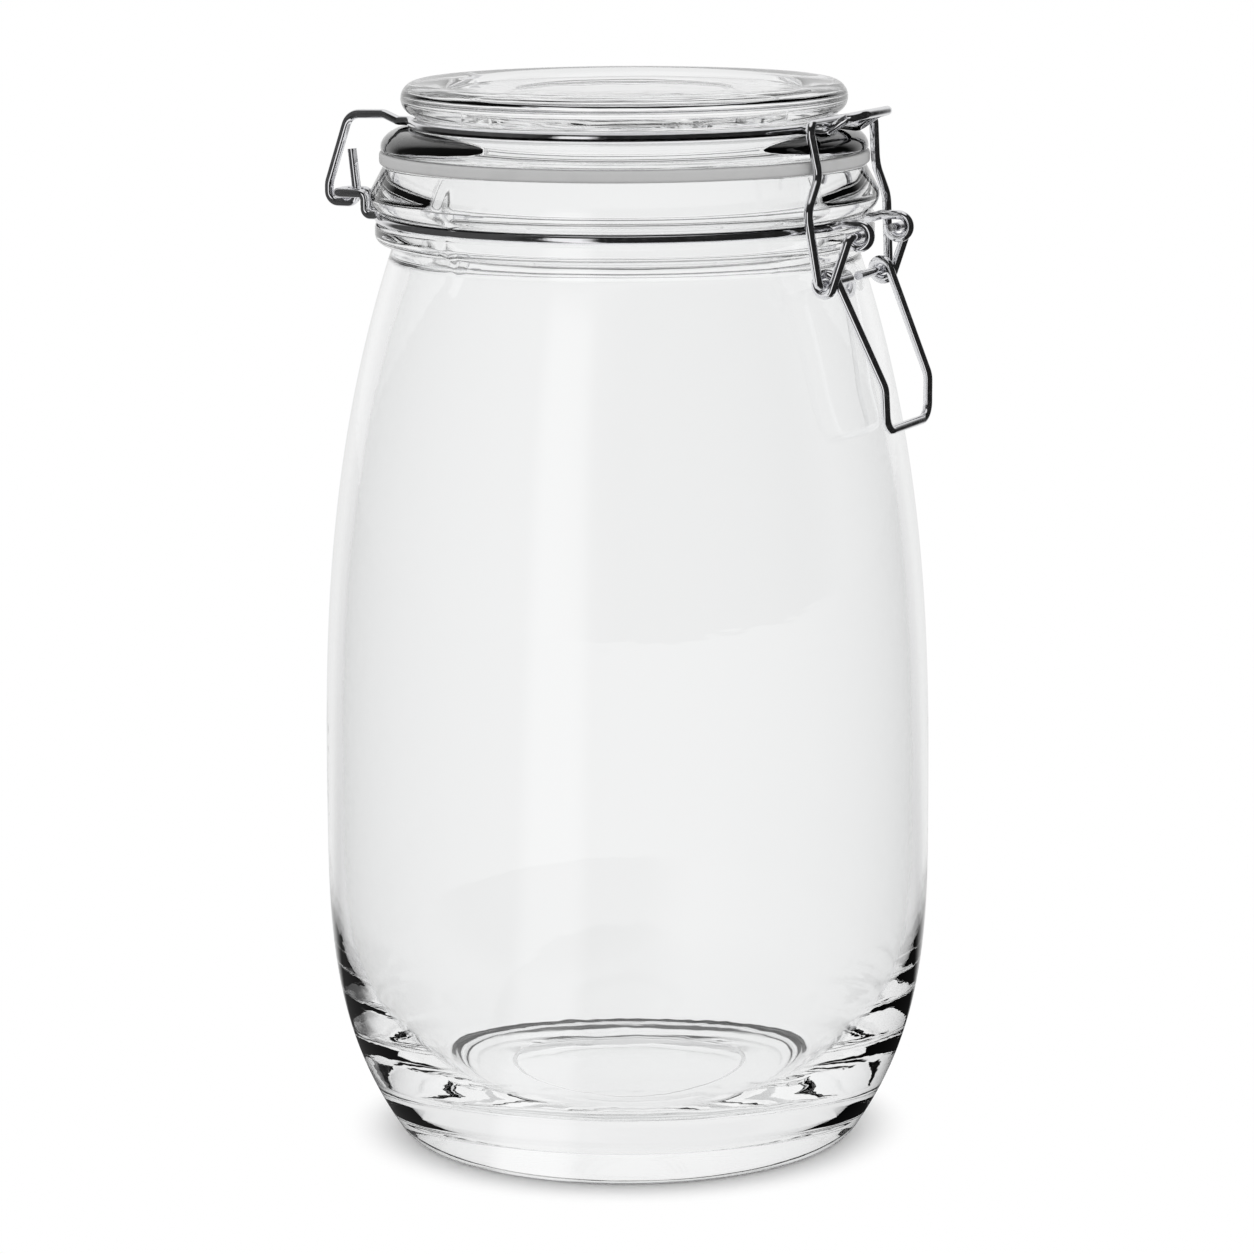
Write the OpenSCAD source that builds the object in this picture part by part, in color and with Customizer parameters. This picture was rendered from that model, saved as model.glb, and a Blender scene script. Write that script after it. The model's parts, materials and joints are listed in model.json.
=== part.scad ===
// Glass storage jar with a wire-bail lid. Millimetres, +Z up.
// The origin is the centre of the face it stands on, and +X points to the latch.

/* [Jar] */
// Widest diameter of the body
body_d = 120; // [110:1:150]
// Height of the widest place
belly_z = 67; // [50:1:90]
// Outer diameter of the foot that touches the table
foot_d = 87; // [70:1:100]
// Diameter under the neck bead
neck_d = 91; // [84:1:104]
// Height of the top of the glass rim
rim_z = 194; // [160:1:240]
// Diameter of the mouth
mouth_d = 80.6; // [70:0.2:84]
// Thickness of the body wall
wall = 3.2; // [2.5:0.1:4.5]
// Thickness of the floor at its centre
floor_t = 5.2; // [4:0.1:8]
// Rise of the punt under the floor
punt_h = 2.6; // [1:0.1:4]

/* [Neck] */
// How far the lower bead stands out of the neck
bead_out = 3.4; // [2:0.1:5]
// How far the rim bulge stands out of the bead
bulge_out = 0.9; // [0.4:0.1:2]
// Height of the wire groove's centre below the rim
groove_drop = 10.4; // [9:0.1:14]

/* [Lid] */
// Thickness of the gasket
gasket_t = 2.4; // [1.6:0.1:4]
// Gap between the lid's boss and the gasket
gasket_gap = 0.3; // [0.1:0.05:0.6]
// Height of the lid above its seat
lid_h = 13.5; // [11:0.5:20]
// How far the lid's seat is smaller than the rim bulge, on the radius
seat_inset = 2.2; // [1:0.1:3]
// How far the lid's top rim is smaller than its seat, on the radius
crown_inset = 4; // [2:0.25:6]
// Thickness of the rounded top rim
crown_t = 6.5; // [4:0.5:8]
// Diameter of the circle pressed in the lid's top
disc_d = 43.4; // [30:0.2:60]

/* [Wire] */
// Diameter of the two ring wires
ring_w = 1.8; // [1.4:0.1:2.2]
// Diameter of the lever and yoke wires
latch_w = 1.8; // [1.4:0.1:2.2]
// Clearance between a wire and the glass it lies on
wire_gap = 0.1; // [0.05:0.05:0.3]
// Clearance between moving wires, side by side
side_gap = 0.25; // [0.15:0.05:0.6]
// Clearance between a moving wire and the glass
glass_gap = 0.3; // [0.2:0.05:1]

/* [Latch] */
// Half distance between the two curls that hold the lever
curl_y = 10; // [8:0.5:14]
// Half distance between the lever's two arms
arm_y = 15.4; // [13:0.2:18]
// Distance of the lever's pivot out of the bead
pivot_out = 4.75; // [4:0.25:7]
// Drop from the lever's pivot to its coils
coil_drop = 9; // [7:0.5:12]
// Length of the lever's handle below the coils
handle_l = 28; // [20:1:40]
// Half width of the handle's grip end
grip_y = 10.6; // [9:0.2:13]
// Gap between the handle and the body at its end
grip_gap = 4.6; // [3:0.1:8]
// Half width of the lid ring's nose
nose_y = 8; // [6:0.5:9]
// Reach of the nose past its valley
nose_l = 7; // [6:0.2:12]
// Rise of the nose above its valley
nose_h = 3.5; // [2:0.1:5]
// Half width of the yoke's top bar
yoke_y = 16.3; // [15:0.1:22]

/* [Hinge] */
// Half distance between the two hinge hooks
hook_y = 16; // [12:0.5:20]
// Distance of the hinge axis out of the rim bulge, measured along X
hinge_out = 4.3; // [3.8:0.1:7]
// Height of the hinge axis above the groove
hinge_up = 4.1; // [3:0.1:6]
// Distance of the hooks' outer legs out of the hinge axis
hook_out = 2.8; // [2.4:0.1:4]
// Distance of the hooks' cut ends in from the hinge axis
hook_in = 3.6; // [2.4:0.1:4]
// Height of the hooks' cut ends above the hinge axis
stub_h = 8.5; // [5:0.5:12]
// Lean of the hooks' cut ends away from the jar
stub_lean = 1.2; // [0:0.1:2]
// Distance of the hook arms' shoulder out of the hinge axis, inward
shoulder_in = 1.9; // [0:0.1:5]

/* [Hidden] */
$fn = 96;
glass = [0.86, 0.92, 0.92, 0.45];
steel = [0.72, 0.72, 0.74];
rubber = [0.80, 0.80, 0.79];

body_r = body_d / 2;
neck_r = neck_d / 2;
mouth_r = mouth_d / 2;
foot_r = foot_d / 2;
bead_r = neck_r + bead_out;
bulge_r = bead_r + bulge_out;
groove_z = rim_z - groove_drop;
groove_r = bead_r - ring_w;                    // floor of the wire groove
neck_z = groove_z - 5.6;                       // where the body curve ends
seat_z = rim_z + gasket_t;
seat_r = bulge_r - seat_inset;
top_z = seat_z + lid_h;
crown_r = seat_r - crown_inset;

// The wire ring of the neck lies in its groove, the ring of the lid on its shoulder.
neck_ring_r = groove_r + ring_w / 2 + wire_gap;
lid_neck_r = crown_r - crown_t / 2 + 0.2;
lid_ring_r = lid_neck_r + ring_w / 2 + wire_gap;
lid_ring_z = top_z - crown_t - ring_w / 2 - 0.5;

// Places of the latch, in the plane of symmetry as [x, z].
curl_r = latch_w / 2 + 0.4 + ring_w / 2;
coil_r = latch_w / 2 + 0.15 + latch_w / 2;
pivot = [bead_r + pivot_out, groove_z - 1.2];
handle_y = arm_y - latch_w - side_gap;
coil_z = pivot[1] - coil_drop;
coil_near = profile_r(coil_z) + glass_gap;
coil = [chord(coil_near, handle_y - latch_w / 2) + coil_r + latch_w / 2, coil_z];
grip_z = coil_z - handle_l;
grip_x = profile_r(grip_z) + grip_gap + latch_w / 2;
kink = [grip_x - 0.2, grip_z + 8.3];

valley = [lid_ring_r + 4.4, lid_ring_z - 0.5];   // where the bar lies in the nose
bar = valley + [-0.15, ring_w / 2 + latch_w / 2 + side_gap];
leg_y = arm_y + latch_w + side_gap + 0.2;
stub_y = 2.2;

// Places of the hinge.
hook_drop = ring_w + side_gap;                 // the hooks' bends lie this far under the ears
hinge = [-bulge_r - hinge_out, groove_z + hinge_up];
ear_y = ring_w + side_gap + 0.7;
riser_r = bulge_r + glass_gap + ring_w / 2 + 0.1;
ring_bend = 1.8;                               // bends where a ring leaves its circle

// Distance along X from the axis to a circle of radius r, at the offset y.
function chord(r, y) = sqrt(r * r - y * y);

// Outer radius of the body at height z: one curve below the belly and one above it.
function profile_r(z) = z < belly_z
    ? body_r - (body_r - foot_r - 1.7) * pow((belly_z - z) / belly_z, 3.25)
    : body_r - (body_r - neck_r) * pow(min(1, (z - belly_z) / (neck_z - belly_z)), 2.6);

// Inner radius of the body at height z. Its floor corner is wider than the outer heel.
inside_z = punt_h + floor_t;
function bore_r(z) = z < belly_z
    ? body_r - wall - (body_r - wall - foot_r + 6.5) * pow((belly_z - z) / (belly_z - inside_z), 3.8)
    : body_r - wall - (body_r - wall - mouth_r) * pow(min(1, (z - belly_z) / (neck_z - belly_z)), 2.6);

// Points of an arc in a profile, and of an arc squashed to two radii.
function arc(c, r, a0, a1, n = 8) = oval(c, r, r, a0, a1, n);
function oval(c, rx, rz, a0, a1, n = 8) =
    [for (i = [0:n]) c + [rx * cos(a0 + (a1 - a0) * i / n), rz * sin(a0 + (a1 - a0) * i / n)]];

function mirror_y(path) = [for (i = [len(path) - 1:-1:0]) [path[i][0], -path[i][1], path[i][2]]];
function reversed(list) = [for (i = [len(list) - 1:-1:0]) list[i]];
function unit(v) = v / norm(v);
function turn(a, b, c) = acos(max(-1, min(1, unit(b - a) * unit(c - b))));

// The points of a corner b between a and c, rounded to radius r: a bend every 18 degrees or less.
function corner(a, b, c, r) = let (
    angle = turn(a, b, c),
    u = unit(b - a),
    out = cross(u, unit(cross(u, unit(c - b)))),
    from = b - u * r * tan(angle / 2),
    n = max(1, ceil(angle / 18)))
    [for (i = [0:n]) from + r * (u * sin(angle * i / n) - out * (1 - cos(angle * i / n)))];

// The line of a wire through the corners p, each inner corner i rounded to radius r[i].
function rounded(p, r) = [for (i = [0:len(p) - 1])
    each (i == 0 || i == len(p) - 1 ? [p[i]] : corner(p[i - 1], p[i], p[i + 1], r[i]))];

// The line of a wire ring round the neck at height z, from angle a0 to a1, without its ends.
function ring_line(r, a0, a1, z = 0) = let (n = ceil(abs(a1 - a0) / 5))
    [for (i = [1:n - 1]) [r * cos(a0 + (a1 - a0) * i / n), r * sin(a0 + (a1 - a0) * i / n), z]];

// Leaves out points that fall on the one before.
function spread(p) = [for (i = [0:len(p) - 1]) if (i == 0 || norm(p[i] - p[i - 1]) > 0.01) p[i]];

// A wire of diameter d along the line p.
module wire(p, d, sides = 8) {
    q = spread(p);
    n = len(q);
    t = [for (i = [0:n - 1]) unit(q[min(n - 1, i + 1)] - q[max(0, i - 1)])];
    first = unit(cross(t[0], abs(t[0][2]) < 0.9 ? [0, 0, 1] : [1, 0, 0]));
    across = [for (i = 0, v = first; i < n;
        v = i + 1 < n ? unit(v - t[i + 1] * (v * t[i + 1])) : v, i = i + 1) v];
    points = [for (i = [0:n - 1]) for (k = [0:sides - 1]) let (a = 360 * k / sides)
        q[i] + d / 2 * (cos(a) * across[i] + sin(a) * cross(t[i], across[i]))];
    skin = [for (i = [0:n - 2]) for (k = [0:sides - 1]) let (
        a = i * sides + k,
        b = i * sides + (k + 1) % sides)
        each [[a, b + sides, b], [a, a + sides, b + sides]]];
    ends = [[for (k = [0:sides - 1]) k], [for (k = [sides - 1:-1:0]) (n - 1) * sides + k]];
    polyhedron(points, concat(skin, ends));
}

// A round pin along Y, from y = a to y = b, for a joint to turn on.
module pin(x, z, a, b, d) {
    translate([x, b, z])
        rotate([90, 0, 0])
            cylinder(h = b - a, d = d + 0.04);
}

// Where the line at offset y meets the ring's tangent at angle a.
function leave(r, a, y) = let (t = (y / r - sin(a)) / cos(a))
    [r * (cos(a) - t * sin(a)), y];

module jar() {
    under = [[0, punt_h], [24.6, punt_h - 0.5], [25.8, punt_h - 1.1], [foot_r - 7, 0.9]];
    heel = [[foot_r - 4.6, 0], [foot_r, 0], [foot_r + 1.3, 0.3], [foot_r + 2.1, 0.8]];
    side = [for (i = [0:44]) let (z = 1.4 + (neck_z - 1.4) * pow(i / 44, 1.1)) [profile_r(z), z]];
    bead_low = neck_z + 0.6;
    bead_h = groove_z - ring_w / 2 - wire_gap - bead_low;
    bead = concat(
        [[neck_r + 0.3, bead_low]],
        arc([bead_r - 1.9, bead_low + 1.9], 1.9, -70, 0, 5),
        arc([bead_r - 0.8, bead_low + bead_h - 0.8], 0.8, 0, 80, 4));
    bulge_low = groove_z + ring_w / 2 + wire_gap;
    groove = [[groove_r, bead_low + bead_h], [groove_r, bulge_low]];
    bulge = concat(
        oval([bulge_r - 3, bulge_low + 3.2], 3, 3.2, -75, 0, 6),
        [[bulge_r - 0.1, bulge_low + 4.2]],
        arc([bulge_r - 3.4, rim_z - 0.9], 0.9, 15, 90, 4));
    mouth = concat(arc([mouth_r + 1.2, rim_z - 1.2], 1.2, 90, 180, 5), [[mouth_r, neck_z + 1]]);
    bore = [for (i = [40:-1:0]) let (z = inside_z + (neck_z - inside_z) * pow(i / 40, 1.3)) [bore_r(z), z]];
    color(glass)
        rotate_extrude()
            polygon(concat(under, heel, side, bead, groove, bulge, mouth, bore, [[0, inside_z - 0.6]]));
}

module gasket() {
    r_in = boss_r() + gasket_gap;
    r_out = seat_r + 0.3;
    color(rubber)
        rotate_extrude()
            polygon([
                [r_in, rim_z], [r_out - 0.3, rim_z], [r_out, rim_z + 0.3],
                [r_out, seat_z - 0.3], [r_out - 0.3, seat_z], [r_in, seat_z]]);
}

function boss_r() = mouth_r - 0.9;

module lid() {
    shoulder_z = lid_ring_z - ring_w / 2 - wire_gap;
    crown_z = top_z - crown_t / 2;
    disc = [[0, top_z - 2], [disc_d / 2 - 0.6, top_z - 1.9], [disc_d / 2, top_z - 1.5]];
    plate = [[crown_r - crown_t, top_z - 1.4], [crown_r - crown_t / 2 - 1.2, top_z - 0.3]];
    crown = arc([crown_r - crown_t / 2, crown_z], crown_t / 2, 90, -86, 14);
    shoulder = oval([lid_neck_r + 1.2, seat_z + 0.9], seat_r - lid_neck_r - 1.2, shoulder_z - seat_z - 0.9, 90, 0, 9);
    seat = [[seat_r - 0.5, seat_z], [boss_r(), seat_z]];
    boss = [[boss_r(), rim_z - 0.1], [boss_r() - 0.5, rim_z - 0.4], [boss_r() - 2.6, rim_z - 0.4]];
    under = [[boss_r() - 4.2, seat_z + 3.6], [boss_r() - 6, seat_z + 4.7], [0, seat_z + 5.4]];
    color(glass)
        rotate_extrude()
            polygon(concat(disc, plate, crown, [[lid_neck_r, shoulder_z]], shoulder, seat, boss, under));
}

// The ring in the neck groove: a curl at each end holds the lever, and two ears carry the lid.
module neck_ring() {
    front = asin(curl_y / neck_ring_r) + 3;
    out_a = asin((hook_y + ear_y) / neck_ring_r) + 3;
    in_a = asin((hook_y - ear_y) / neck_ring_r) - 4;
    start = leave(neck_ring_r, -front, -curl_y);
    curl = [
        [start[0], -curl_y, 0],
        [pivot[0] - 3.4, -curl_y, pivot[1] + curl_r - groove_z],
        [pivot[0] + curl_r, -curl_y, pivot[1] + curl_r - groove_z],
        [pivot[0] + curl_r, -curl_y, pivot[1] - curl_r - groove_z],
        [pivot[0] - curl_r, -curl_y, pivot[1] - curl_r - groove_z],
        [pivot[0] - curl_r, -curl_y, pivot[1] + 0.3 - groove_z]];
    first = [neck_ring_r * cos(-front), neck_ring_r * sin(-front), 0];
    curl_bends = [0, ring_bend, 2, curl_r, curl_r, curl_r, 0];
    y_out = hook_y + ear_y;
    y_in = hook_y - ear_y;
    a_out = 180 + out_a;
    a_in = 180 + in_a;
    ear_z = hinge[1] - groove_z;
    from = leave(neck_ring_r, a_out, -y_out);
    back = leave(neck_ring_r, a_in, -y_in);
    ear = [
        [neck_ring_r * cos(a_out), neck_ring_r * sin(a_out), 0],
        [from[0], -y_out, 0],
        [-chord(riser_r, y_out), -y_out, 0],
        [-chord(riser_r, y_out), -y_out, ear_z],
        [hinge[0], -y_out, ear_z],
        [hinge[0], -y_in, ear_z],
        [-chord(riser_r, y_in), -y_in, ear_z],
        [-chord(riser_r, y_in), -y_in, 0],
        [back[0], -y_in, 0],
        [neck_ring_r * cos(a_in), neck_ring_r * sin(a_in), 0]];
    ear_bends = [0, ring_bend, 1.2, 1.2, 1.6, 1.6, 1.2, 1.2, ring_bend, 0];
    half = concat(
        reversed(rounded(concat([first], curl), curl_bends)),
        reversed(ring_line(neck_ring_r, a_out, 360 - front)),
        rounded(ear, ear_bends),
        ring_line(neck_ring_r, a_in, 180));
    color(steel)
        translate([0, 0, groove_z])
            union() {
                wire(concat(half, [[-neck_ring_r, 0, 0]], mirror_y(half)), ring_w);
                for (side = [-1, 1])
                    pin(hinge[0], ear_z, side * hook_y - 1.1, side * hook_y + 1.1, ring_w);
            }
}

// The ring on the lid: a nose for the yoke in front, and two hooks round the ears behind.
module lid_ring() {
    front = asin(nose_y / lid_ring_r) + 3;
    rear = asin(hook_y / lid_ring_r) + 4;
    a_rear = 180 + rear;
    tip = valley + [nose_l, nose_h] - [0, lid_ring_z];
    nose = [
        [lid_ring_r * cos(-front), lid_ring_r * sin(-front), 0],
        [leave(lid_ring_r, -front, -nose_y)[0], -nose_y, 0],
        [valley[0], -nose_y, valley[1] - lid_ring_z],
        [tip[0] - 3, -nose_y, tip[1] - 0.8],
        [tip[0], -nose_y, tip[1]]];
    nose_bends = [0, ring_bend, 2.5, 4, 3];
    shoulder_z = lid_ring_z + 1.2;
    hook = [
        [lid_ring_r * cos(a_rear), lid_ring_r * sin(a_rear), 0],
        [leave(lid_ring_r, a_rear, -hook_y)[0], -hook_y, 0],
        [-crown_r + 2.2, -hook_y, 0],
        [-crown_r - 0.8, -hook_y, shoulder_z - lid_ring_z],
        [hinge[0] + shoulder_in, -hook_y, shoulder_z - lid_ring_z - 0.2],
        [hinge[0] - hook_out, -hook_y, hinge[1] + 1.6 - lid_ring_z],
        [hinge[0] - hook_out, -hook_y, hinge[1] - hook_drop - lid_ring_z],
        [hinge[0] + hook_in, -hook_y, hinge[1] - hook_drop - lid_ring_z],
        [hinge[0] + hook_in - stub_lean, -hook_y, hinge[1] + stub_h - lid_ring_z]];
    hook_bends = [0, ring_bend, 1.5, 2, 3.2, 4, 2, 2, 0];
    half = concat(
        reversed(rounded(hook, hook_bends)),
        ring_line(lid_ring_r, a_rear, 360 - front),
        rounded(concat(nose, [[tip[0], 0, tip[1]]]), concat(nose_bends, [0])));
    color(steel)
        translate([0, 0, lid_ring_z])
            wire(concat(half, mirror_y(half)), ring_w);
}

// The yoke: a bar that lies in the nose's valley, zigzag legs, and ends that turn in to the coils.
module yoke() {
    gasket_clear = seat_r + 0.3 + glass_gap + latch_w / 2;
    bulge_clear = bulge_r + glass_gap + latch_w / 2;
    wide_y = yoke_y + 3.7;
    slim_y = yoke_y - 2;
    half = [
        [coil[0], -stub_y, coil[1] - groove_z],
        [coil[0], -leg_y, coil[1] - groove_z],
        [chord(bulge_clear, wide_y) + 0.2, -wide_y, 3.8],
        [chord(gasket_clear, slim_y) + 0.1, -slim_y, rim_z - groove_z - 0.1],
        [bar[0], -yoke_y, bar[1] - groove_z]];
    bends = [0, 1.4, 4, 4, 1.8];
    color(steel)
        translate([0, 0, groove_z])
            union() {
                wire(rounded(concat(half, mirror_y(half)), concat(bends, reversed(bends))), latch_w);
                for (side = [-1, 1])
                    pin(coil[0], coil[1] - groove_z, side * 8 - 6, side * 8 + 6, latch_w);
            }
}

// The lever: pins in the neck ring's curls, a coil round each yoke end, and a handle.
module lever() {
    // The wire meets the coil's circle at the angle a_in and leaves it at a_last. The corners
    // between lie outside the circle, so that bends of the coil's radius touch it.
    steps = 6;
    a_in = atan2(coil[1] - pivot[1], coil[0] - pivot[0]) + 90 + asin(coil_r / norm(coil - pivot));
    a_last = atan2(kink[1] - coil[1], kink[0] - coil[0]) - 270 - asin(coil_r / norm(kink - coil));
    swing = (a_last - a_in) / steps;
    reach = coil_r / cos(swing / 2);
    turns = [for (i = [0:steps - 1]) let (a = a_in + swing * (i + 0.5))
        [coil[0] + reach * cos(a), -arm_y + (arm_y - handle_y) * (i + 0.5) / steps,
            coil[1] - groove_z + reach * sin(a)]];
    half = concat(
        [[pivot[0], -curl_y + 3.4, pivot[1] - groove_z], [pivot[0], -arm_y, pivot[1] - groove_z]],
        turns,
        [[kink[0], -(grip_y + 0.6), kink[1] - groove_z], [grip_x, -grip_y, grip_z - groove_z]]);
    bends = concat([0, 1.3], [for (i = [1:steps]) coil_r * 0.97], [5, 3.4]);
    color(steel)
        translate([0, 0, groove_z])
            union() {
                wire(rounded(concat(half, mirror_y(half)), concat(bends, reversed(bends))), latch_w);
                for (side = [-1, 1])
                    pin(pivot[0], pivot[1] - groove_z, side * 9.5 - 3, side * 9.5 + 3, latch_w);
            }
}

jar();
gasket();
lid();
neck_ring();
lid_ring();
yoke();
lever();
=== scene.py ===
"""A clip-top glass storage jar: smooth glass, bright bent wire and a rubber gasket on the frame."""

import json
import math

import bpy
from bpy.props import FloatProperty, FloatVectorProperty, PointerProperty
from bpy.types import Operator, Panel, PropertyGroup
from mathutils import Matrix, Vector


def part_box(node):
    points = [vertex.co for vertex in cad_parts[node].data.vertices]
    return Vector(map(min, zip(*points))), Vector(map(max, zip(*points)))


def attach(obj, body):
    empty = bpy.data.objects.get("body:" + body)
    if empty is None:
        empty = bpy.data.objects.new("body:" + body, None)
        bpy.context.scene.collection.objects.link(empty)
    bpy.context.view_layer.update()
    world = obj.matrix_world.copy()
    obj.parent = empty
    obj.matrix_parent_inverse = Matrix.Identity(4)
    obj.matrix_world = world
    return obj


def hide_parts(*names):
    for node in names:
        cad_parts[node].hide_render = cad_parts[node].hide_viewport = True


bl_info = {
    "name": "Clip-top glass jar",
    "version": (1, 0, 0),
    "blender": (4, 5, 0),
    "location": "View3D > Sidebar > Glass jar",
    "description": "Glass, wires, gasket and studio of a clip-top storage jar",
    "category": "Add Mesh",
}

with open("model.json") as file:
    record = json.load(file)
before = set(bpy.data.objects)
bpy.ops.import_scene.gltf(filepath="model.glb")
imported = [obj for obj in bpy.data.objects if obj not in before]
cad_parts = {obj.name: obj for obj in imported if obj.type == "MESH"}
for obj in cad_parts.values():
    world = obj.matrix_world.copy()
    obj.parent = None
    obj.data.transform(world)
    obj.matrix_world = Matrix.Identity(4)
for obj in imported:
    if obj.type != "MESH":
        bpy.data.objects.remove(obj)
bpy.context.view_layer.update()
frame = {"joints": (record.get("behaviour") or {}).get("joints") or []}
joints = {joint["name"]: Vector(joint["pos_m"]) for joint in frame["joints"]}
PIVOT = joints["lever_lift"]
COIL = joints["yoke_swing"]
HINGE = joints["lid_hinge"]
RIM_Z, SEAT_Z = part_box("gasket")[0].z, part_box("gasket")[1].z
BODY_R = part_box("jar")[1].x
TOP_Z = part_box("lid")[1].z
GASKET_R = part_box("gasket")[1].x

# Heights of the wire groove's middle and of the top of the body, where the neck bead begins.
GROOVE_Z = RIM_Z - 0.0104
NECK_Z = GROOVE_Z - 0.0056

# The height where the neck's waves are strongest, and the angles of the mould's two seams.
NECK_WAVES_Z = RIM_Z - 0.009
SEAM_TURNS = (-109, 71)

# Clearances round a wire: in its groove, beside another wire and off the glass.
WIRE_GAP = 0.0001
SIDE_GAP = 0.00025
GLASS_GAP = 0.0003

# Where the studio's parts stand, as angles round the jar in degrees from the latch.
LENS_TURN = -65
STRIP_TURN = -91
GREY_TURN = -160
BACK_TURN = 115
DARK_TURN = -30
WIRE_HEIGHT = 0.17

# How bright the room lights things, and how bright the floor is through glass.
ROOM_LIGHT = 1.3
FLOOR_THROUGH = 0.93


def length(title, words, default):
    """A property that holds a length in metres."""
    return FloatProperty(name=title, description=words, default=default, unit="LENGTH", precision=5)


def colour(title, words, default):
    """A property that holds a colour."""
    return FloatVectorProperty(name=title, description=words, default=default, subtype="COLOR", size=3)


class JARLOOK_glass_sizes(PropertyGroup):
    """Sizes of the jar and its lid."""

    belly_z: length("Belly height", "Height of the widest place", 0.067)
    foot_r: length("Foot radius", "Outer radius of the foot", 0.0435)
    neck_r: length("Neck radius", "Radius under the neck bead", 0.0455)
    mouth_r: length("Mouth radius", "Radius of the mouth", 0.0403)
    wall: length("Wall", "Thickness of the body wall", 0.0032)
    floor: length("Floor", "Thickness of the floor", 0.0052)
    punt: length("Punt", "Rise of the punt under the floor", 0.0026)
    bead_r: length("Bead radius", "Radius of the bead under the wire groove", 0.0489)
    bulge_r: length("Bulge radius", "Radius of the bulge over the wire groove", 0.0498)
    crown_r: length("Crown radius", "Radius of the lid's rounded top rim", 0.0436)
    crown_t: length("Crown thickness", "Thickness of the lid's rounded top rim", 0.0065)
    seat_r: length("Seat radius", "Radius of the lid's lower flange", 0.0476)
    disc_r: length("Disc radius", "Radius of the circle pressed in the lid's top", 0.0217)
    wave: length("Waves", "How far the pressed glass strays from a true surface", 0.00035)
    seam: length("Seam", "How far the mould seam stands out", 0.00028)


class JARLOOK_wire_sizes(PropertyGroup):
    """Sizes of the bent wires."""

    ring_d: length("Ring wire", "Diameter of the two ring wires", 0.0018)
    latch_d: length("Latch wire", "Diameter of the lever and yoke wires", 0.0018)
    neck_ring_r: length("Neck ring radius", "Radius of the ring in the neck groove", 0.0481)
    lid_ring_r: length("Lid ring radius", "Radius of the ring on the lid", 0.04155)
    lid_ring_z: length("Lid ring height", "Height of the ring on the lid", 0.202)
    curl_y: length("Curl offset", "Half distance between the curls that hold the lever", 0.010)
    arm_y: length("Arm offset", "Half distance between the lever's arms", 0.0154)
    grip_y: length("Grip half width", "Half width of the handle's end", 0.0106)
    handle: length("Handle length", "How far the handle's end hangs below the coils", 0.028)
    grip_gap: length("Grip gap", "Gap between the body and the handle's end", 0.0046)
    yoke_y: length("Bar half width", "Half width of the yoke's crossbar", 0.0163)
    nose_y: length("Nose half width", "Half width of the lid ring's nose", 0.008)
    hook_y: length("Hook offset", "Half distance between the hinge hooks", 0.016)


class JARLOOK_finishes(PropertyGroup):
    """Colours of the finishes."""

    glass: colour("Glass", "Colour of light through the glass", (0.995, 0.998, 0.998))
    # Painted shade: the grey that the glass's colour takes where it is seen edge-on, standing in for dark
    # edge lines.
    edge_on_painted_shade: colour("Glass edge", "Colour of light that skims along the glass", (0.45, 0.46, 0.47))
    steel: colour("Wire", "Colour of the bright wire", (0.83, 0.83, 0.85))
    rubber: colour("Gasket", "Colour of the rubber", (0.43, 0.43, 0.43))
    floor: colour("Floor", "Colour of the floor", (0.92, 0.92, 0.92))


# ---------------------------------------------------------------- drawing with the modelling tools


def deselect():
    """Leaves nothing selected, because an operator acts on all that is selected."""
    bpy.ops.object.select_all(action="DESELECT")


def draw_line(name, points):
    """A mesh line drawn through the points, one extrusion after another. It ends in edit mode."""
    deselect()
    bpy.ops.mesh.primitive_plane_add(size=0.001, location=(0, 0, 0))
    piece = bpy.context.active_object
    piece.name = name
    bpy.ops.object.mode_set(mode="EDIT")
    bpy.ops.mesh.select_all(action="SELECT")
    bpy.ops.mesh.merge(type="CENTER")
    bpy.ops.transform.translate(value=points[0])
    for before, point in zip(points, points[1:]):
        bpy.ops.mesh.extrude_vertices_move(TRANSFORM_OT_translate={"value": point - before})
    return piece


def turn_profile(name, outline, steps=256):
    """A solid of revolution round Z from its outline, given as (radius, height) pairs."""
    piece = draw_line(name, [Vector((r, 0, z)) for r, z in outline])
    bpy.ops.mesh.select_all(action="SELECT")
    bpy.ops.mesh.spin(steps=steps, angle=math.tau, center=(0, 0, 0), axis=(0, 0, 1))
    bpy.ops.mesh.select_all(action="SELECT")
    bpy.ops.mesh.remove_doubles(threshold=0.000005)
    bpy.ops.mesh.normals_make_consistent(inside=False)
    bpy.ops.object.mode_set(mode="OBJECT")
    bpy.ops.object.shade_smooth()
    return piece


def bend_wire(name, route, diameter):
    """A round wire along the route, with flat cut ends."""
    piece = draw_line(name, spread(route))
    bpy.ops.object.mode_set(mode="OBJECT")
    bpy.ops.object.convert(target="CURVE")
    curve = bpy.context.active_object.data
    curve.dimensions = "3D"
    curve.bevel_depth = diameter / 2
    curve.bevel_resolution = 6
    curve.use_fill_caps = True
    bpy.ops.object.convert(target="MESH")
    piece = bpy.context.active_object
    bpy.ops.object.mode_set(mode="EDIT")
    bpy.ops.mesh.select_all(action="SELECT")
    bpy.ops.mesh.remove_doubles(threshold=0.000002)
    bpy.ops.mesh.normals_make_consistent(inside=False)
    bpy.ops.object.mode_set(mode="OBJECT")
    bpy.ops.object.shade_smooth_by_angle(angle=math.radians(50))
    return piece


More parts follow.
